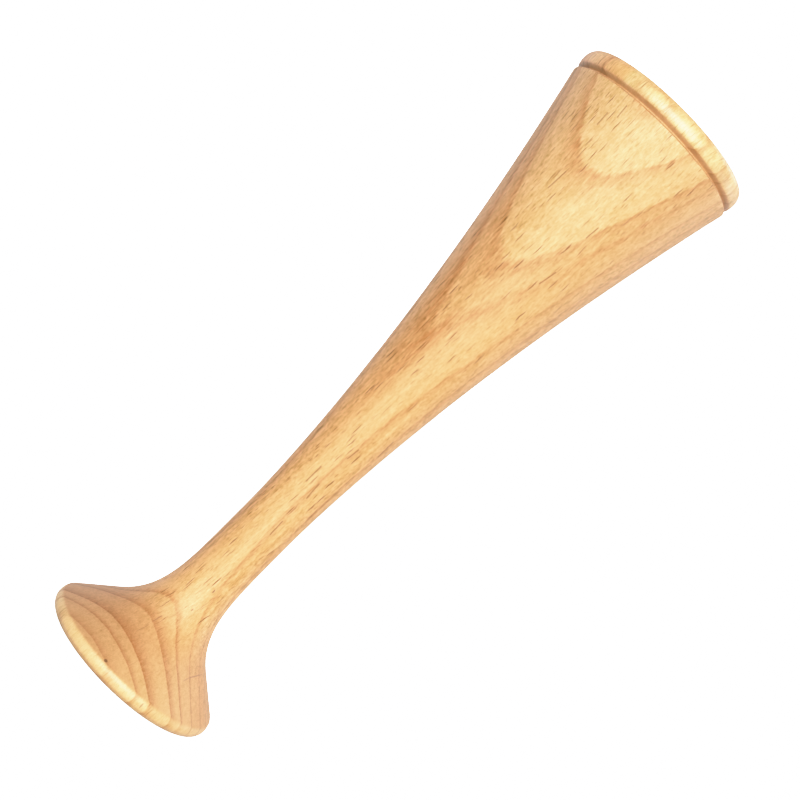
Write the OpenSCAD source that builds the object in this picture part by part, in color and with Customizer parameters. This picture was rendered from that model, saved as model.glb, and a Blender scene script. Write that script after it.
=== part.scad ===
// Monaural listening horn, turned from one piece of beech.
// It stands on its flat ear plate: the origin is the centre of the ear face
// and +Z runs along the air way to the mouth of the bell. Millimetres.

/* [Overall] */
// Length from the ear face to the lip of the bell
length = 180; // [160:1:200]

/* [Ear plate] */
// Diameter of the ear plate over its rounded rim
ear_d = 48; // [44:0.5:60]
// Radius of the rim on the side of the ear
rim_r = 2.3; // [1.5:0.1:3]
// Radius of the crown of the rim, on the side of the stem
crown_r = 3.9; // [2.5:0.1:5]
// Slope at which the crown ends in an arris, in degrees from the axis
crown_angle = 20; // [10:1:30]
// Rounding of that arris
arris_r = 1.2; // [0.6:0.1:2]
// Slope of the cone behind the rim, in degrees from the axis
cone_angle = 49; // [45:1:54]
// Length of that cone along the axis
cone_len = 7.2; // [4:0.1:7.4]

/* [Stem and barrel] */
// Diameter of the stem at its waist
stem_d = 14.2; // [12:0.1:16]
// Height at which the neck has run out into the stem
neck_z = 56; // [45:1:70]
// Height at which the barrel begins to widen
flare_z = 47; // [40:1:60]
// How the barrel widens: 1 is a straight cone and 2 a parabola
flare_power = 1.69; // [1.4:0.01:1.9]

/* [Bell rim] */
// Diameter of the barrel at the arris of the groove
bell_d = 48.8; // [44:0.2:60]
// How far the crest of the bead stands out beyond that arris
bead_proud = 0.25; // [0.1:0.05:1]
// Width of the bead along the axis, from its shoulder over the groove to the lip
bead_w = 4.4; // [4.2:0.1:5.5]
// Distance of the crest of the bead from the lip
crest_w = 2.55; // [2.2:0.05:2.7]
// Rounding of the bead on the side of the lip, across the axis
bead_h = 1.6; // [1.2:0.1:2]
// How far the crest stands out beyond the shoulder
shoulder_h = 0.4; // [0.3:0.05:0.45]
// Width of the groove along the axis, from the arris to the shoulder
groove_w = 1.45; // [1.2:0.05:1.6]
// Part of that width taken by the steep wall on the side of the barrel
groove_wall = 0.4; // [0.3:0.05:0.5]
// Depth of the groove below the arris
groove_d = 1.3; // [1.2:0.05:2]

/* [Air way] */
// Diameter of the drilled bore
bore_d = 7.5; // [5:0.1:8.5]
// Rounding of the bore's edge in the ear face
ear_hole_r = 1; // [0.5:0.1:2]
// Height at which the bore opens into the bell
cavity_z = 78; // [70:1:100]
// How the inside of the bell widens: 1 is a straight cone
cavity_power = 1.4; // [1.2:0.05:1.8]
// Thickness of the wall at the mouth, from the crest of the bead inwards
mouth_wall = 4.6; // [4.2:0.1:8]
// Rounding of the lip inside the mouth
lip_r = 1.2; // [0.5:0.1:1.5]

/* [Hidden] */
$fn = 128;

beech = [0.93, 0.76, 0.54];

ear_r = ear_d / 2;
stem_r = stem_d / 2;
bell_r = bell_d / 2;
bore_r = bore_d / 2;
bead_r = bell_r + bead_proud;
mouth_r = bead_r - mouth_wall;
shoulder_z = length - bead_w;
groove_z = shoulder_z - groove_w;
crest_z = length - crest_w;
shoulder_r = bead_r - shoulder_h;
floor_r = bell_r - groove_d;
floor_z = groove_z + groove_wall;
// the bead runs on from the slanted side of the groove without a kink
groove_slope = (shoulder_r - floor_r) / (shoulder_z - floor_z);
shoulder_a = acos(1 / (groove_slope * (crest_z - shoulder_z) / shoulder_h - 1));
shoulder_ra = shoulder_h / (1 - cos(shoulder_a));
shoulder_za = (crest_z - shoulder_z) / sin(shoulder_a);

// the rounding of the arris goes on from the crown without a kink
arris_cr = ear_r - crown_r + (crown_r - arris_r) * cos(crown_angle);
arris_cz = rim_r + (crown_r - arris_r) * sin(crown_angle);
// end of the rim, where the cone behind it begins
cone_z0 = arris_cz + arris_r * sin(cone_angle);
cone_r0 = arris_cr + arris_r * cos(cone_angle);
// end of the cone, where the hollow of the neck takes over with the same slope
cone_z1 = cone_z0 + cone_len;
cone_r1 = cone_r0 - cone_len * tan(cone_angle);
neck_h = cone_r1 - stem_r;
neck_l = neck_z - cone_z1;
neck_power = neck_l * tan(cone_angle) / neck_h;

// what the neck and the barrel each add to the radius of the stem
function neck_add(z) = z >= neck_z ? 0 : neck_h * pow((neck_z - z) / neck_l, neck_power);
function barrel_add(z) = z <= flare_z ? 0 :
    (bell_r - stem_r) * pow((z - flare_z) / (groove_z - flare_z), flare_power);
function outer_r(z) = stem_r + neck_add(z) + barrel_add(z);

// the inside of the bell, up to the rounded lip of the mouth
lip_slope = atan(cavity_power * (mouth_r - bore_r) / (length - lip_r - cavity_z));
cavity_top = length - lip_r * (1 - sin(lip_slope));
function cavity_r(z) = bore_r + (mouth_r - bore_r) *
    pow((z - cavity_z) / (cavity_top - cavity_z), cavity_power);

// points of an arc, or of an elliptic arc, as [radius, height]
function arc(cr, cz, ra, za, from, to, steps) =
    [for (i = [0:steps]) let (a = from + (to - from) * i / steps)
        [cr + ra * cos(a), cz + za * sin(a)]];

body_steps = 120;
cavity_steps = 56;

function horn_profile() = concat(
    // edge of the bore in the ear face
    arc(bore_r + ear_hole_r, ear_hole_r, ear_hole_r, ear_hole_r, 180, 270, 10),
    // rim of the ear plate: ear side, crown and arris up to the cone
    arc(ear_r - rim_r, rim_r, rim_r, rim_r, -90, 0, 18),
    [for (p = arc(ear_r - crown_r, rim_r, crown_r, crown_r, 0, crown_angle, 6))
        if (p[1] > rim_r) p],
    [for (i = [1:8])
        let (a = crown_angle + (cone_angle - crown_angle) * i / 8)
        [arris_cr + arris_r * cos(a), arris_cz + arris_r * sin(a)]],
    // neck, stem and barrel, with the steps closer together in the neck
    [for (i = [0:body_steps])
        let (z = cone_z1 + (groove_z - cone_z1) * pow(i / body_steps, 1.6))
        [outer_r(z), z]],
    // floor of the groove, then the bead over its shoulder and crest to the lip
    [[floor_r, floor_z]],
    arc(bead_r - shoulder_ra, crest_z, shoulder_ra, shoulder_za, -shoulder_a, 0, 18),
    [for (p = arc(bead_r - bead_h, crest_z, bead_h, crest_w, 0, 90, 20)) if (p[1] > crest_z) p],
    // rounded lip inside the mouth
    arc(mouth_r + lip_r * cos(lip_slope), length - lip_r, lip_r, lip_r, 90, 180 - lip_slope, 10),
    // inside of the bell, down to the bore
    [for (i = [1:cavity_steps])
        let (z = cavity_top - (cavity_top - cavity_z) * i / cavity_steps)
        [cavity_r(z), z]]
);

module horn() {
    color(beech) rotate_extrude() polygon(horn_profile());
}

horn();
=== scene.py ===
import math

import bpy
from mathutils import Matrix, Vector, noise


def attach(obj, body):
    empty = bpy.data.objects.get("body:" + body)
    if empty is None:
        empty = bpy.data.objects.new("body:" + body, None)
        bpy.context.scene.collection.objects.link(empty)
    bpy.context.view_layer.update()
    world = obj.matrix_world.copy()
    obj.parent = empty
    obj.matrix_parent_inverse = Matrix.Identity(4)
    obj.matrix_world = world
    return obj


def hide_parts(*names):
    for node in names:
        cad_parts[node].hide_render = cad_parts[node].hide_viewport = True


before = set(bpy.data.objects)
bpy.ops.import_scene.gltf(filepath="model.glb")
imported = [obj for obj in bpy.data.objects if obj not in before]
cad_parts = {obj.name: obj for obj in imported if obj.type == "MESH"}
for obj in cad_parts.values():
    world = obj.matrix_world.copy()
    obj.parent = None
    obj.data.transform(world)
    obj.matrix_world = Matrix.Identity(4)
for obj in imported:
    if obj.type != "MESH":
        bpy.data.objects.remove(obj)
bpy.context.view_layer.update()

MM = 0.001

# ---------------------------------------------------------------------------
# The outline of the turning, in millimetres, as [radius, height]
# ---------------------------------------------------------------------------
LENGTH = 180.0
EAR_R, RIM_R, CROWN_R, ARRIS_R = 24.0, 2.3, 3.9, 1.2
CROWN_A, CONE_A, CONE_LEN = math.radians(20.0), math.radians(49.0), 7.2
STEM_R, NECK_Z, FLARE_Z, FLARE_POWER = 7.1, 56.0, 47.0, 1.69
BELL_R, BEAD_R, BEAD_W, CREST_W, BEAD_H, SHOULDER_H = 24.4, 24.65, 4.4, 2.55, 1.6, 0.4
GROOVE_W, GROOVE_WALL, GROOVE_D = 1.45, 0.4, 1.3
BORE_R, EAR_HOLE_R, CAVITY_Z, CAVITY_POWER = 3.75, 1.0, 78.0, 1.4
MOUTH_R, LIP_R = 20.05, 1.2

SHOULDER_R, SHOULDER_Z = BEAD_R - SHOULDER_H, LENGTH - BEAD_W
GROOVE_Z = SHOULDER_Z - GROOVE_W
CREST_Z = LENGTH - CREST_W
FLOOR_R, FLOOR_Z = BELL_R - GROOVE_D, GROOVE_Z + GROOVE_WALL
GROOVE_SLOPE = (SHOULDER_R - FLOOR_R) / (SHOULDER_Z - FLOOR_Z)
SHOULDER_A = math.acos(1 / (GROOVE_SLOPE * (CREST_Z - SHOULDER_Z) / SHOULDER_H - 1))
SHOULDER_RA = SHOULDER_H / (1 - math.cos(SHOULDER_A))
SHOULDER_ZA = (CREST_Z - SHOULDER_Z) / math.sin(SHOULDER_A)
ARRIS_CR = EAR_R - CROWN_R + (CROWN_R - ARRIS_R) * math.cos(CROWN_A)
ARRIS_CZ = RIM_R + (CROWN_R - ARRIS_R) * math.sin(CROWN_A)
CONE_Z0 = ARRIS_CZ + ARRIS_R * math.sin(CONE_A)
CONE_R0 = ARRIS_CR + ARRIS_R * math.cos(CONE_A)
CONE_Z1 = CONE_Z0 + CONE_LEN
CONE_R1 = CONE_R0 - CONE_LEN * math.tan(CONE_A)
NECK_H = CONE_R1 - STEM_R
NECK_L = NECK_Z - CONE_Z1
NECK_POWER = NECK_L * math.tan(CONE_A) / NECK_H
LIP_SLOPE = math.atan(CAVITY_POWER * (MOUTH_R - BORE_R) / (LENGTH - LIP_R - CAVITY_Z))
CAVITY_TOP = LENGTH - LIP_R * (1 - math.sin(LIP_SLOPE))


def outer_r(z):
    r = STEM_R
    if z < NECK_Z:
        r += NECK_H * ((NECK_Z - z) / NECK_L) ** NECK_POWER
    if z > FLARE_Z:
        r += (BELL_R - STEM_R) * ((z - FLARE_Z) / (GROOVE_Z - FLARE_Z)) ** FLARE_POWER
    return r


def cavity_r(z):
    if z <= CAVITY_Z:
        return BORE_R
    return BORE_R + (MOUTH_R - BORE_R) * ((z - CAVITY_Z) / (CAVITY_TOP - CAVITY_Z)) ** CAVITY_POWER


def arc(cr, cz, ra, za, start, end, steps):
    return [(cr + ra * math.cos(a), cz + za * math.sin(a))
            for a in (math.radians(start + (end - start) * i / steps) for i in range(steps + 1))]


def fillet(before, corner, after, radius, steps):
    """Rounds one corner of the outline."""
    b, c, a = Vector(before), Vector(corner), Vector(after)
    d1, d2 = (b - c).normalized(), (a - c).normalized()
    half = d1.angle(d2) / 2
    reach = radius / math.tan(half)
    middle = c + (d1 + d2).normalized() * (radius / math.sin(half))
    p, q = c + d1 * reach - middle, c + d2 * reach - middle
    out = []
    for i in range(steps + 1):
        t = i / steps
        v = p * (1 - t) + q * t
        v = v.normalized() * radius + middle
        out.append((v.x, v.y))
    return out


# ear face: rounded edge of the bore, then the flat
ear_rows = arc(BORE_R + EAR_HOLE_R, EAR_HOLE_R, EAR_HOLE_R, EAR_HOLE_R, 180, 270, 7)
ear_rows += [(BORE_R + EAR_HOLE_R + (EAR_R - RIM_R - BORE_R - EAR_HOLE_R) * i / 10, 0.0) for i in range(1, 10)]

# outside: rim, cone, neck, stem, barrel, groove, bead
out_rows = arc(EAR_R - RIM_R, RIM_R, RIM_R, RIM_R, -90, 0, 16)
out_rows += arc(EAR_R - CROWN_R, RIM_R, CROWN_R, CROWN_R, 0, math.degrees(CROWN_A), 6)[1:]
out_rows += arc(ARRIS_CR, ARRIS_CZ, ARRIS_R, ARRIS_R, math.degrees(CROWN_A), math.degrees(CONE_A), 9)[1:]
out_rows += [(CONE_R0 - (CONE_R0 - CONE_R1) * i / 8, CONE_Z0 + CONE_LEN * i / 8) for i in range(1, 8)]
BODY = 132
body = [CONE_Z1 + (GROOVE_Z - CONE_Z1) * (0.55 * (i / BODY) + 0.45 * (i / BODY) ** 1.9) for i in range(BODY + 1)]
out_rows += [(outer_r(z), z) for z in body[:-1]]
arris, floor, shoulder = (BELL_R, GROOVE_Z), (FLOOR_R, FLOOR_Z), (SHOULDER_R, SHOULDER_Z)
out_rows += fillet(out_rows[-1], arris, floor, 0.22, 5)
out_rows += fillet(arris, floor, shoulder, 0.26, 6)
out_rows += [(FLOOR_R + (SHOULDER_R - FLOOR_R) * t, FLOOR_Z + (SHOULDER_Z - FLOOR_Z) * t) for t in (0.50, 0.66, 0.82)]
out_rows += arc(BEAD_R - SHOULDER_RA, CREST_Z, SHOULDER_RA, SHOULDER_ZA, -math.degrees(SHOULDER_A), 0, 18)
out_rows += arc(BEAD_R - BEAD_H, CREST_Z, BEAD_H, CREST_W, 0, 90, 20)[1:]

# inside: lip, bell, bore
in_rows = [(BEAD_R - BEAD_H - 0.5, LENGTH)]
in_rows += arc(MOUTH_R + LIP_R * math.cos(LIP_SLOPE), LENGTH - LIP_R, LIP_R, LIP_R,
               90, 180 - math.degrees(LIP_SLOPE), 8)
in_rows += [(cavity_r(z), z) for z in (CAVITY_TOP - (CAVITY_TOP - CAVITY_Z) * i / 44 for i in range(1, 45))]
in_rows += [(BORE_R, CAVITY_Z - (CAVITY_Z - EAR_HOLE_R) * i / 16) for i in range(1, 16)]

rows = ear_rows + out_rows + in_rows
COLS = 320


def build_horn():
    verts = []
    for k, (r, z) in enumerate(rows):
        outside = len(ear_rows) + 34 <= k and z < GROOVE_Z - 2 and k < len(ear_rows) + len(out_rows)
        for j in range(COLS):
            a = 2 * math.pi * j / COLS
            s, c = math.sin(a), -math.cos(a)
            rr = r
            if outside:
                # hand sanding leaves the turning a few hundredths out of true
                rr += 0.035 * noise.noise(Vector((s * 1.6, c * 1.6, z / 17.0)))
            verts.append((rr * s * MM, rr * c * MM, z * MM))
    faces = []
    n = len(rows)
    for k in range(n):
        k2 = (k + 1) % n
        for j in range(COLS):
            j2 = (j + 1) % COLS
            faces.append((k * COLS + j, k * COLS + j2, k2 * COLS + j2, k2 * COLS + j))
    mesh = bpy.data.meshes.new("horn_turned")
    mesh.from_pydata(verts, [], faces)
    mesh.validate()

    # flat map of the turning: outside, inside and ear face each in a field of its own
    def lengths(part):
        total, out = 0.0, [0.0]
        for p, q in zip(part, part[1:]):
            total += math.hypot(q[0] - p[0], q[1] - p[1])
            out.append(total)
        return [v / total for v in out]

    e0, o0, i0 = 0, len(ear_rows), len(ear_rows) + len(out_rows)
    l_out = lengths(out_rows + in_rows[:1])
    l_in = lengths(in_rows + ear_rows[:1])
    uv = mesh.uv_layers.new(name="OFBake")
    data = [0.0] * (len(faces) * 8)
    for k in range(n):
        for j in range(COLS):
            f = k * COLS + j
            jj = ((j + COLS // 2) % COLS) / COLS
            for corner, (dk, dj) in enumerate(((0, 0), (0, 1), (1, 1), (1, 0))):
                t = jj + dj / COLS
                if k < o0:
                    r = (ear_rows + out_rows[:1])[k + dk][0] / (EAR_R - RIM_R)
                    u, v = 0.81 + 0.165 * r * math.sin(2 * math.pi * t), 0.83 + 0.165 * r * math.cos(2 * math.pi * t)
                elif k < i0:
                    u, v = 0.005 + 0.99 * t, 0.005 + 0.64 * l_out[k - o0 + dk]
                else:
                    u, v = 0.005 + 0.60 * t, 0.655 + 0.34 * l_in[k - i0 + dk]
                data[f * 8 + corner * 2] = u
                data[f * 8 + corner * 2 + 1] = v
    uv.data.foreach_set("uv", data)
    mesh.polygons.foreach_set("use_smooth", [True] * len(mesh.polygons))
    mesh.update()
    obj = bpy.data.objects.new("horn_turned", mesh)
    bpy.context.scene.collection.objects.link(obj)
    return obj


# ---------------------------------------------------------------------------
# Beech
# ---------------------------------------------------------------------------
class Nodes:
    def __init__(self, tree):
        self.tree = tree

    def new(self, kind, **props):
        n = self.tree.nodes.new(kind)
        for k, v in props.items():
            setattr(n, k, v)
        return n

    def put(self, socket, value):
        if isinstance(value, bpy.types.NodeSocket):
            self.tree.links.new(value, socket)
        elif value is not None:
            socket.default_value = value

    def math(self, op, a, b=None, c=None, clamp=False):
        n = self.new("ShaderNodeMath", operation=op, use_clamp=clamp)
        for s, v in zip(n.inputs, (a, b, c)):
            self.put(s, v)
        return n.outputs[0]

    def add(self, a, b): return self.math("ADD", a, b)
    def sub(self, a, b): return self.math("SUBTRACT", a, b)
    def mul(self, a, b, clamp=False): return self.math("MULTIPLY", a, b, clamp=clamp)

    def ramp(self, v, a, b, lo=0.0, hi=1.0, kind="SMOOTHSTEP"):
        n = self.new("ShaderNodeMapRange", interpolation_type=kind, clamp=True)
        self.put(n.inputs["Value"], v)
        for name, x in (("From Min", a), ("From Max", b), ("To Min", lo), ("To Max", hi)):
            self.put(n.inputs[name], x)
        return n.outputs["Result"]

    def xyz(self, x, y, z):
        n = self.new("ShaderNodeCombineXYZ")
        for s, v in zip(n.inputs, (x, y, z)):
            self.put(s, v)
        return n.outputs[0]

    def noise(self, vec, scale=1.0, detail=2.0, rough=0.5, lac=2.0, dist=0.0):
        n = self.new("ShaderNodeTexNoise", noise_dimensions="3D", normalize=True)
        self.put(n.inputs["Vector"], vec)
        for name, x in (("Scale", scale), ("Detail", detail), ("Roughness", rough), ("Lacunarity", lac), ("Distortion", dist)):
            n.inputs[name].default_value = x
        return n.outputs["Fac"] if "Fac" in n.outputs else n.outputs[0]

    def voronoi(self, vec):
        n = self.new("ShaderNodeTexVoronoi", voronoi_dimensions="3D", feature="F1", distance="EUCLIDEAN")
        self.put(n.inputs["Vector"], vec)
        n.inputs["Scale"].default_value = 1.0
        n.inputs["Randomness"].default_value = 1.0
        return n

    def mix(self, fac, a, b, blend="MIX"):
        n = self.new("ShaderNodeMix", data_type="RGBA", blend_type=blend, clamp_factor=True)
        self.put(n.inputs[0], fac)
        self.put(n.inputs[6], a)
        self.put(n.inputs[7], b)
        return n.outputs[2]


# the log that the blank was cut from: the pith runs along the back, a little across the axis
PITH_D = 130.0
PITH_A = math.radians(-19.7)
TILT_U, BEND_U, TILT_V = 0.027, -0.000083, -0.156
# the fibres wind round the pith and lean a little the other way
FIBRE_V = 0.07

# growth-ring boundaries outward from the pith: place, depth of the late wood, its width,
# its width on the ear plate and how far the boundary has drifted there
RINGS = (
    (26.55, 0.55, 1.0, 1.9, 0.0), (23.25, 0.75, 1.0, 1.3, -0.30), (19.5, 0.95, 1.9, 3.2, 0.90),
    (14.8, 0.88, 3.9, 2.3, 0.30), (12.3, 1.04, 3.6, 1.1, -0.40), (7.55, 0.75, 1.5, 0.9, 0.30),
    (3.4, 0.75, 1.5, 0.8, -0.10), (-0.6, 0.55, 1.3, 0.8, 0.0), (-4.0, 0.80, 1.5, 1.1, 0.0),
    (-7.4, 0.65, 1.3, 1.0, 0.0), (-11.5, 0.85, 1.7, 1.5, 0.0), (-15.0, 0.65, 1.3, 1.2, 0.0),
    (-19.2, 0.75, 1.5, 1.6, 0.0), (-22.8, 0.60, 1.2, 1.2, 0.0), (-26.4, 0.65, 1.3, 1.3, 0.0),
)
# this boundary runs further down the barrel on one flank and is fainter on the other
LONG_RING, LONG_RUN = 12.3, 1.1

# small marks of use: middle, half width, half length along the grain, darkness
MARKS = (
    ((-4.06, -22.93, 4.28), 0.62, 0.52, 0.95),
    ((8.60, -22.40, 2.60), 0.26, 1.05, 0.55),
    ((1.63, -8.12, 22.25), 0.26, 0.80, 0.80),
    ((2.14, -7.05, 28.78), 0.24, 0.80, 0.80),
)
# fine drying checks across the ear plate: from, to, half width, darkness
CHECKS = (
    ((11.74, -11.48, 10.22), (12.32, -9.13, 11.16), 0.22, 0.30),
    ((12.32, -9.13, 11.16), (12.90, -7.42, 11.56), 0.26, 0.44),
    ((12.90, -7.42, 11.56), (13.48, -5.38, 11.90), 0.26, 0.40),
    ((13.48, -5.38, 11.90), (14.02, -3.10, 12.05), 0.24, 0.32),
    ((-2.92, -11.32, 15.08), (-2.58, -10.58, 16.28), 0.22, 0.45),
    ((-2.58, -10.58, 16.28), (-2.39, -10.21, 16.98), 0.20, 0.50),
)
# the longest ray flecks: angle round the horn and height, at either end
LONG_FLECKS = (
    ((-27.1, 148.1), (-24.8, 153.2)), ((-28.6, 165.2), (-28.1, 168.4)), ((-21.8, 169.0), (-21.9, 172.0)),
    ((16.7, 146.1), (17.1, 149.4)), ((19.0, 131.8), (21.1, 136.1)), ((56.1, 77.9), (52.4, 82.7)),
    ((17.2, 72.8), (19.1, 76.0)), ((-5.4, 62.3), (-4.8, 67.2)), ((16.9, 59.5), (14.2, 63.9)),
    ((17.5, 47.5), (15.9, 51.7)),
)


def on_horn(angle, z):
    a = math.radians(angle)
    return Vector((outer_r(z) * math.sin(a), -outer_r(z) * math.cos(a), z))


def beech():
    mat = bpy.data.materials.new("beech")
    mat.use_nodes = True
    tree = mat.node_tree
    tree.nodes.clear()
    g = Nodes(tree)
    coords = g.new("ShaderNodeTexCoord")
    mm = g.new("ShaderNodeVectorMath", operation="SCALE")
    g.put(mm.inputs[0], coords.outputs["Object"])
    mm.inputs["Scale"].default_value = 1000.0
    p = mm.outputs[0]
    sep = g.new("ShaderNodeSeparateXYZ")
    g.put(sep.inputs[0], p)
    x, y, z = sep.outputs
    radius = g.math("SQRT", g.add(g.mul(x, x), g.mul(y, y)))
    sine = g.math("DIVIDE", x, radius)

    def along(vec, offset):
        n = g.new("ShaderNodeVectorMath", operation="DOT_PRODUCT")
        g.put(n.inputs[0], p)
        n.inputs[1].default_value = vec
        return g.add(n.outputs["Value"], offset)

    sa, ca = math.sin(PITH_A), math.cos(PITH_A)
    zc = g.sub(z, 100.0)
    u = along((sa, -ca, -TILT_U), TILT_U * 100.0)
    u = g.sub(u, g.mul(g.mul(zc, zc), BEND_U))
    v = along((ca, sa, -TILT_V), TILT_V * 100.0)
    ud = g.add(u, PITH_D)
    rho = g.sub(g.math("SQRT", g.add(g.mul(ud, ud), g.mul(v, v))), PITH_D)
    vf = along((ca, sa, -FIBRE_V), FIBRE_V * 100.0)
    tang = g.mul(g.math("ARCTAN2", vf, ud), PITH_D)

    # how far the cut shows end grain
    face = g.new("ShaderNodeSeparateXYZ")
    g.put(face.inputs[0], coords.outputs["Normal"])
    end = g.ramp(g.math("ABSOLUTE", face.outputs[2]), 0.14, 0.86)

    # how squarely the cut faces the bark: rays show there end on, as flecks, and elsewhere side on, as flake
    bark = g.new("ShaderNodeVectorMath", operation="DOT_PRODUCT")
    g.put(bark.inputs[0], coords.outputs["Normal"])
    bark.inputs[1].default_value = (sa, -ca, 0.0)
    flat_cut = g.ramp(g.math("ABSOLUTE", bark.outputs["Value"]), 0.12, 0.55)

    # the rings wander a little, and their edges are feathered along the fibres
    wander = g.noise(g.xyz(g.mul(x, 1 / 16.0), g.mul(y, 1 / 16.0), g.mul(z, 1 / 42.0)), detail=1.0)
    ripple = g.noise(g.xyz(g.mul(tang, 1 / 2.2), g.mul(rho, 1 / 3.0), g.mul(z, 1 / 11.0)), detail=2.0)
    feather = g.noise(g.xyz(g.mul(tang, 1 / 0.40), g.mul(rho, 1 / 1.6), g.mul(z, 1 / 8.0)), detail=3.0, rough=0.6)
    ring = g.add(rho, g.mul(g.sub(wander, 0.5), 0.7))
    ring = g.add(ring, g.mul(g.sub(ripple, 0.5), g.ramp(end, 0.0, 1.0, 0.50, 0.30)))
    ring = g.add(ring, g.mul(g.sub(feather, 0.5), g.ramp(end, 0.0, 1.0, 0.95, 0.25)))

    # late wood darkens towards each boundary and breaks off there, sharply on a cut across the fibres
    foot = g.math("MAXIMUM", end, g.ramp(z, 60.0, 28.0, 0.0, 0.85))
    low = g.ramp(z, 50.0, 18.0)
    edge = g.ramp(end, 0.0, 1.0, 0.36, 0.20)
    late = None
    for place, depth, width, width_low, drift in RINGS:
        past = g.sub(ring, place)
        if drift:
            past = g.sub(past, g.mul(low, drift))
        if place == LONG_RING:
            down = g.mul(g.ramp(z, 128.0, 98.0), g.ramp(z, 52.0, 72.0))
            past = g.add(past, g.mul(g.mul(down, g.ramp(sine, -0.02, -0.45)), LONG_RUN))
            depth = g.math("MAXIMUM", g.ramp(sine, -0.42, 0.0, depth, depth * 0.62), g.mul(foot, depth))
            past = g.math("DIVIDE", past, g.ramp(foot, 0.0, 0.6, 2.2, 1.0))
            width /= 2.2
        shade = g.math("DIVIDE", past, g.ramp(foot, 0.0, 1.0, width, width_low))
        rise = g.math("POWER", g.ramp(shade, -1.0, 0.0, kind="LINEAR"), 1.7)
        fall = g.ramp(g.math("DIVIDE", past, edge), 0.0, 1.0, 1.0, 0.0)
        band = g.mul(g.mul(rise, fall), depth)
        late = band if late is None else g.add(late, band)
    lines = g.ramp(g.noise(g.xyz(g.mul(tang, 1 / 0.42), g.mul(rho, 1 / 1.0), g.mul(z, 1 / 5.0)), detail=2.0, rough=0.6), 0.34, 0.66)
    late = g.mul(late, g.add(g.mul(lines, g.ramp(end, 0.0, 1.0, 0.75, 0.35)), g.ramp(end, 0.0, 1.0, 0.62, 0.82)))

    # fibre streaks, long along the grain
    streak = g.noise(g.xyz(g.mul(tang, 1 / 0.60), g.mul(rho, 1 / 0.9), g.mul(z, 1 / 13.0)), detail=4.0, rough=0.6)
    mottle = g.noise(g.xyz(g.mul(tang, 1 / 0.80), g.mul(rho, 1 / 1.2), g.mul(z, 1 / 2.3)), detail=3.0, rough=0.65)
    fine = g.noise(g.xyz(g.mul(tang, 1 / 0.22), g.mul(rho, 1 / 0.35), g.mul(z, 1 / 0.9)), detail=2.0, rough=0.65)
    speck = g.noise(p, scale=1 / 0.7, detail=1.0)
    cloud = g.noise(g.xyz(g.mul(tang, 1 / 7.0), g.mul(rho, 1 / 6.0), g.mul(z, 1 / 30.0)), detail=2.0)

    # the figure is livelier on the flank that was nearer the heart of the log
    flank = g.mul(g.ramp(sine, -0.10, -0.62), g.ramp(z, 30.0, 62.0))
    lively = g.add(g.mul(flank, g.ramp(z, 105.0, 150.0, 0.45, 0.14)), g.ramp(z, 60.0, 88.0, 1.14, 0.95))
    lively = g.mul(g.add(lively, g.ramp(z, 120.0, 150.0, 0.0, 0.08)), g.ramp(sine, 0.35, 0.80, 1.0, 1.06))

    # ray flecks: thin upright lenses that run from bark to pith, some dark and some faint
    jog = g.mul(g.sub(g.noise(g.xyz(g.mul(tang, 1 / 1.3), g.mul(rho, 1 / 9.0), g.mul(z, 1 / 2.4)), detail=1.0), 0.5), 0.35)
    ft = g.add(tang, jog)
    side_grain = g.mul(g.mul(g.sub(1.0, g.mul(end, 0.75)), g.ramp(z, 2.5, 8.0, 0.30, 1.0)), lively)
    side_grain = g.mul(side_grain, g.add(g.mul(flat_cut, 0.92), 0.08))

    def flecks(across, inward, length, core, edge, faint):
        cell = g.voronoi(g.xyz(g.mul(ft, 1 / across), g.mul(rho, 1 / inward), g.mul(z, 1 / length)))
        own = g.new("ShaderNodeSeparateColor")
        g.put(own.inputs[0], cell.outputs["Color"])
        spot = g.ramp(cell.outputs["Distance"], core, edge, 1.0, 0.0)
        return g.mul(g.mul(spot, g.ramp(own.outputs[0], 0.0, 1.0, faint, 1.0, kind="LINEAR")), side_grain)

    fleck_big = flecks(0.60, 18.0, 10.0, 0.10, 0.23, 0.15)
    fleck_small = flecks(0.34, 10.0, 3.6, 0.12, 0.29, 0.10)

    flake = g.ramp(g.noise(g.xyz(g.mul(tang, 1 / 0.9), g.mul(rho, 1 / 2.6), g.mul(z, 1 / 0.9)), detail=2.0, rough=0.55), 0.52, 0.68)
    flake = g.mul(flake, g.mul(g.sub(1.0, flat_cut), g.sub(1.0, end)))

    # small marks of use
    mark = None
    for (mx, my, mz), half, length, depth in MARKS:
        near = g.new("ShaderNodeVectorMath", operation="SUBTRACT")
        g.put(near.inputs[0], p)
        near.inputs[1].default_value = (mx, my, mz)
        scaled = g.new("ShaderNodeVectorMath", operation="MULTIPLY")
        g.put(scaled.inputs[0], near.outputs[0])
        scaled.inputs[1].default_value = (1 / half, 1 / half, 1 / length)
        size = g.new("ShaderNodeVectorMath", operation="LENGTH")
        g.put(size.inputs[0], scaled.outputs[0])
        one = g.ramp(size.outputs["Value"], 0.45, 1.0, depth, 0.0)
        mark = one if mark is None else g.math("MAXIMUM", mark, one)

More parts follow.
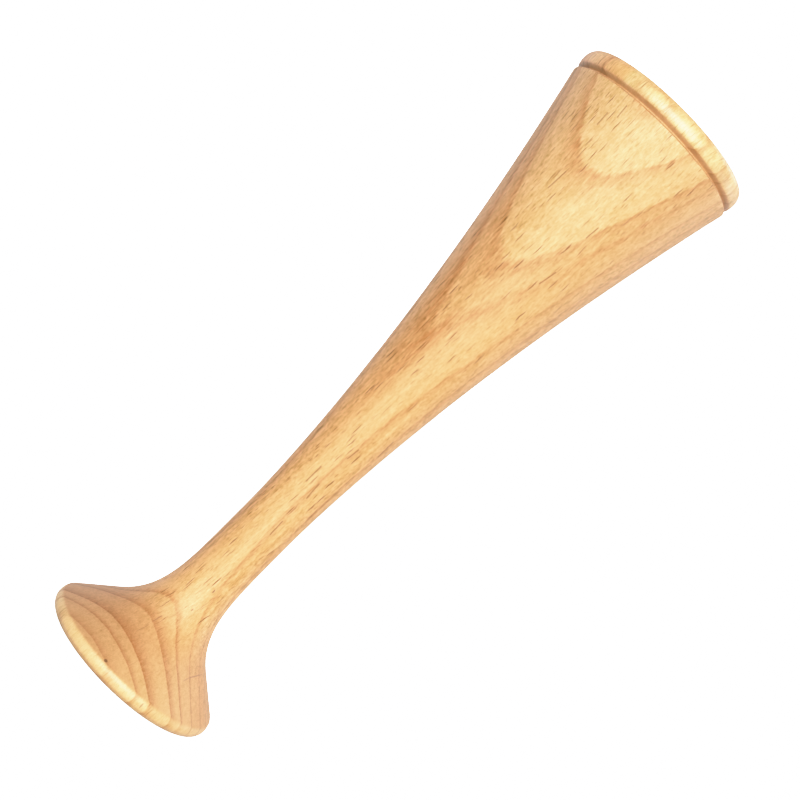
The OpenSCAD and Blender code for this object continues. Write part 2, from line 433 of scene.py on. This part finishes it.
    def line(start, stop, half, depth):
        d = Vector(stop) - Vector(start)
        near = g.new("ShaderNodeVectorMath", operation="SUBTRACT")
        g.put(near.inputs[0], p)
        near.inputs[1].default_value = start
        dot = g.new("ShaderNodeVectorMath", operation="DOT_PRODUCT")
        g.put(dot.inputs[0], near.outputs[0])
        dot.inputs[1].default_value = d / d.length_squared
        way = g.new("ShaderNodeVectorMath", operation="SCALE")
        way.inputs[0].default_value = d
        g.put(way.inputs["Scale"], g.math("ADD", dot.outputs["Value"], 0.0, clamp=True))
        away = g.new("ShaderNodeVectorMath", operation="DISTANCE")
        g.put(away.inputs[0], near.outputs[0])
        g.put(away.inputs[1], way.outputs[0])
        return g.ramp(away.outputs["Value"], half * 0.3, half, depth, 0.0)

    for start, stop, half, depth in CHECKS:
        mark = g.math("MAXIMUM", mark, line(start, stop, half, depth))
    for start, stop in LONG_FLECKS:
        fleck_big = g.math("MAXIMUM", fleck_big, line(on_horn(*start), on_horn(*stop), 0.23, 0.66))

    # colour
    outward = g.ramp(rho, 2.0, 24.0, kind="LINEAR")
    base = g.mix(outward, (0.790, 0.404, 0.157, 1), (0.857, 0.522, 0.248, 1))
    # the late wood is drawn fainter towards +x, a painted sheen of light on that side
    fade = g.math("MAXIMUM", g.ramp(v, 3.0, 15.0, 0.68, 0.58), g.mul(end, 0.88))
    base = g.mix(g.mul(late, fade, clamp=True), base, (0.52, 0.220, 0.062, 1))
    calm = g.ramp(rho, -11.0, -4.0, 0.62, 1.0)
    depth = g.mul(g.mul(g.mul(g.ramp(rho, 4.0, 9.0, 1.18, 0.74), calm), lively), g.mul(g.sub(1.0, g.mul(end, 0.35)), g.ramp(z, 2.5, 8.0, 0.60, 1.0)))
    tone = g.mul(g.sub(streak, 0.5), g.ramp(sine, 0.55, 0.90, 0.72, 0.50))
    tone = g.add(tone, g.mul(g.sub(mottle, 0.5), g.add(g.mul(flank, 0.12), 0.55)))
    tone = g.add(tone, g.mul(g.sub(fine, 0.5), 0.75))
    tone = g.add(tone, g.mul(g.sub(speck, 0.5), 0.22))
    tone = g.add(g.mul(tone, depth), g.mul(g.sub(cloud, 0.5), 0.18))
    tone = g.add(tone, 1.0)
    grey = g.new("ShaderNodeCombineColor")
    for s, dark, pale in zip(grey.inputs, (1.00, 1.13, 2.1), (1.05, 1.05, 1.6)):
        g.put(s, g.math("MINIMUM", g.math("POWER", tone, dark), g.math("POWER", tone, pale)))
    base = g.mix(1.0, base, grey.outputs[0], "MULTIPLY")
    # end grain is darker; the darkening eases off towards +x, painted light on that side
    base = g.mix(g.mul(end, g.ramp(v, -14.0, 4.0, 1.0, 0.55)), base, g.mix(1.0, base, (0.715, 0.625, 0.545, 1), "MULTIPLY"))
    base = g.mix(g.mul(flake, 0.15), base, g.mix(1.0, base, (0.74, 0.66, 0.56, 1), "MULTIPLY"))
    base = g.mix(g.mul(fleck_small, g.add(g.mul(flank, 0.16), 0.60)), base, (0.28, 0.122, 0.014, 1))
    base = g.mix(g.mul(fleck_big, g.ramp(flank, 0.0, 1.0, 0.95, 0.80)), base, (0.19, 0.080, 0.008, 1))
    base = g.mix(mark, base, (0.22, 0.10, 0.035, 1))
    # the edges are rubbed smooth, and the bead and the rim band are lightened in colour as a painted highlight
    outside = g.ramp(radius, 20.5, 21.3)
    rubbed_and_painted_highlight = g.math("MAXIMUM", g.mul(g.ramp(z, 174.8, 176.2), outside), g.mul(g.ramp(z, 4.4, 3.2, 0.0, 0.55), g.ramp(radius, 4.8, 6.0)))
    base = g.mix(rubbed_and_painted_highlight, base, g.mix(1.0, base, (1.09, 1.18, 1.20, 1), "MULTIPLY"))
    # late wood shows broad at one end of the bead
    broad = g.mul(g.mul(g.ramp(z, 175.2, 175.9), outside), g.ramp(g.add(sine, g.mul(g.sub(feather, 0.5), 0.05)), -0.525, -0.575))
    broad = g.mul(broad, g.ramp(y, 8.0, -6.0))
    base = g.mix(broad, base, g.mix(1.0, base, (0.985, 0.84, 0.74, 1), "MULTIPLY"))
    # painted shade in the groove: the recess is darkened in the colour
    groove_shade = g.mul(g.ramp(z, GROOVE_Z - 0.1, GROOVE_Z + 0.25), g.ramp(z, SHOULDER_Z + 0.1, SHOULDER_Z - 0.5, 0.0, 1.0))
    base = g.mix(g.mul(g.mul(groove_shade, outside), 0.55), base, (0.42, 0.225, 0.090, 1))

    # surface: open grain, flecks a little sunk, edges rubbed smoother than the rest
    height = g.add(g.mul(fine, 0.5), g.mul(streak, 0.4))
    height = g.sub(height, g.add(g.mul(fleck_big, 0.9), g.mul(fleck_small, 0.4)))
    height = g.sub(height, g.mul(mark, 3.0))
    bump = g.new("ShaderNodeBump")
    g.put(bump.inputs["Strength"], g.ramp(rubbed_and_painted_highlight, 0.0, 1.0, 0.35, 0.14))
    bump.inputs["Distance"].default_value = 0.00004
    g.put(bump.inputs["Height"], height)
    rough = g.add(g.ramp(rubbed_and_painted_highlight, 0.0, 1.0, 0.46, 0.38), g.mul(streak, 0.10))
    rough = g.sub(g.add(rough, g.mul(fleck_big, 0.12)), g.mul(flake, 0.10))

    shader = g.new("ShaderNodeBsdfPrincipled")
    g.put(shader.inputs["Base Color"], base)
    g.put(shader.inputs["Roughness"], rough)
    g.put(shader.inputs["Normal"], bump.outputs[0])
    shader.inputs["IOR"].default_value = 1.5
    g.put(shader.inputs["Specular IOR Level"], g.ramp(rubbed_and_painted_highlight, 0.0, 1.0, 0.50, 0.78))
    out = g.new("ShaderNodeOutputMaterial")
    g.put(out.inputs["Surface"], shader.outputs[0])
    return mat


horn = build_horn()
horn.data.materials.append(beech())
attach(horn, "root")
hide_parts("horn")


# ---------------------------------------------------------------------------
# Floor, light and camera
# ---------------------------------------------------------------------------
def make_floor():
    size = 4.0
    mesh = bpy.data.meshes.new("floor")
    mesh.from_pydata([(-size, -size, 0), (size, -size, 0), (size, size, 0), (-size, size, 0)], [], [(0, 1, 2, 3)])
    obj = bpy.data.objects.new("floor", mesh)
    bpy.context.scene.collection.objects.link(obj)
    mat = bpy.data.materials.new("floor_white")
    mat.use_nodes = True
    shader = mat.node_tree.nodes["Principled BSDF"]
    shader.inputs["Base Color"].default_value = (0.85, 0.85, 0.86, 1)
    shader.inputs["Roughness"].default_value = 0.9
    shader.inputs["Specular IOR Level"].default_value = 0.0
    shader.inputs["Emission Color"].default_value = (1, 1, 1, 1)
    shader.inputs["Emission Strength"].default_value = 2.2
    mesh.materials.append(mat)
    obj.visible_diffuse = False
    obj.visible_glossy = False
    return obj


make_floor()


middle = Vector((0, 0, 0.1))


def lamp(name, azimuth, elevation, distance, width, height, level, colour=(1.0, 1.0, 1.0)):
    """A soft rectangular light. At level 1 a white surface that faces it at the middle of the object reads 1."""
    a, e = math.radians(azimuth), math.radians(elevation)
    light = bpy.data.lights.new(name, "AREA")
    light.shape = "RECTANGLE"
    light.size = width
    light.size_y = height
    light.energy = level * math.pi ** 2 * distance ** 2
    light.color = colour
    obj = bpy.data.objects.new(name, light)
    obj.location = middle + distance * Vector((math.sin(a) * math.cos(e), -math.cos(a) * math.cos(e), math.sin(e)))
    obj.rotation_euler = (middle - obj.location).to_track_quat("-Z", "Y").to_euler()
    bpy.context.scene.collection.objects.link(obj)
    return obj


lamp("key", 5.5, 9, 1.5, 1.8, 0.42, 1.71)
lamp("side", 100, 8, 1.4, 1.3, 0.6, 0.19, (0.72, 0.96, 1.40))
lamp("top", 124, 47, 1.5, 0.8, 0.8, 0.28, (0.92, 1.0, 1.08))
lamp("back", -118, 10, 1.4, 1.0, 1.0, 0.11)

world = bpy.data.worlds.new("studio")
bpy.context.scene.world = world
world.use_nodes = True
wt = Nodes(world.node_tree)
world.node_tree.nodes.clear()
seen = wt.new("ShaderNodeBackground")
seen.inputs["Color"].default_value = (1, 1, 1, 1)
seen.inputs["Strength"].default_value = 4.0
fill = wt.new("ShaderNodeBackground")
fill.inputs["Color"].default_value = (1, 1, 1, 1)
# the surroundings are dim on the camera's side and white behind the object
wdir = wt.new("ShaderNodeSeparateXYZ")
wt.put(wdir.inputs[0], wt.new("ShaderNodeTexCoord").outputs["Generated"])
wt.put(fill.inputs["Strength"], wt.ramp(wdir.outputs[1], -0.05, 0.65, 0.06, 1.20))
path = wt.new("ShaderNodeLightPath")
both = wt.new("ShaderNodeMixShader")
wt.put(both.inputs[0], path.outputs["Is Camera Ray"])
wt.put(both.inputs[1], fill.outputs[0])
wt.put(both.inputs[2], seen.outputs[0])
wout = wt.new("ShaderNodeOutputWorld")
wt.put(wout.inputs["Surface"], both.outputs[0])

cam_data = bpy.data.cameras.new("camera")
cam_data.sensor_fit = "HORIZONTAL"
cam_data.sensor_width = 36.0
cam_data.lens = 66.15
cam_data.clip_start = 0.01
cam_data.clip_end = 20.0
cam = bpy.data.objects.new("camera", cam_data)
ahead = Vector((0.00421, 0.99939, -0.03462)).normalized()
up = Vector((-0.7057, 0.0275, 0.70797))
up = (up - ahead * up.dot(ahead)).normalized()
right = ahead.cross(up)
turn = Matrix((right, up, -ahead)).transposed().to_4x4()
cam.matrix_world = Matrix.Translation((0.0, -0.346216, 0.102665)) @ turn
bpy.context.scene.collection.objects.link(cam)
bpy.context.scene.camera = cam

view = bpy.context.scene.view_settings
view.view_transform = "Standard"
view.look = "None"
view.exposure = 0.0
view.gamma = 1.0
# the soft shoulder of a photograph: brightest tones are eased into white
view.use_curve_mapping = True
tone = view.curve_mapping
tone.white_level = (3.0, 3.0, 3.0)
tone.extend = "HORIZONTAL"
curve = tone.curves[3]
curve.points[0].location = (0.0, 0.0)
curve.points[1].location = (1.0, 1.0)
for level, shown in ((0.35, 0.35), (0.70, 0.71), (1.0, 0.905), (1.35, 0.965), (2.0, 0.992)):
    curve.points.new(level / 3.0, shown)
for point in curve.points[:2]:
    point.handle_type = "VECTOR"
tone.update()
